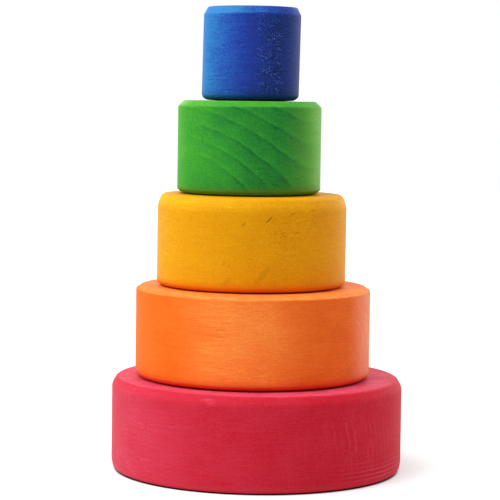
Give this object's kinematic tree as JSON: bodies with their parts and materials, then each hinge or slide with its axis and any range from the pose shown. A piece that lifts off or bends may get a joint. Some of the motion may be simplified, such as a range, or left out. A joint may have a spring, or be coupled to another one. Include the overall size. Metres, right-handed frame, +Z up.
{
  "type": "stacking bowl tower",
  "caption": "Turned and stained wooden bowls in graded sizes, standing base up on one another as a tower; each lifts off, and turned over they nest inside one another.",
  "frame": {"origin": "on the standing surface, under the middle of the largest bowl", "axes": "+Z up along the axes of the bowls; the bowls above stand a few millimetres aside along X"},
  "size_m": [0.15, 0.15, 0.2375],
  "materials": {
    "red_wood": "satin",
    "orange_wood": "satin",
    "yellow_wood": "satin",
    "green_wood": "satin",
    "blue_wood": "satin"
  },
  "bodies": {
    "red": {"red_bowl": "red_wood"},
    "orange": {"orange_bowl": "orange_wood"},
    "yellow": {"yellow_bowl": "yellow_wood"},
    "green": {"green_bowl": "green_wood"},
    "blue": {"blue_bowl": "blue_wood"}
  },
  "joints": [
    {"name": "orange_lift", "type": "slide", "parent": "red", "child": "orange", "axis": [0, 0, 1], "range_m": [0, 0.06]},
    {"name": "yellow_lift", "type": "slide", "parent": "orange", "child": "yellow", "axis": [0, 0, 1], "range_m": [0, 0.06]},
    {"name": "green_lift", "type": "slide", "parent": "yellow", "child": "green", "axis": [0, 0, 1], "range_m": [0, 0.06]},
    {"name": "blue_lift", "type": "slide", "parent": "green", "child": "blue", "axis": [0, 0, 1], "range_m": [0, 0.06]}
  ]
}
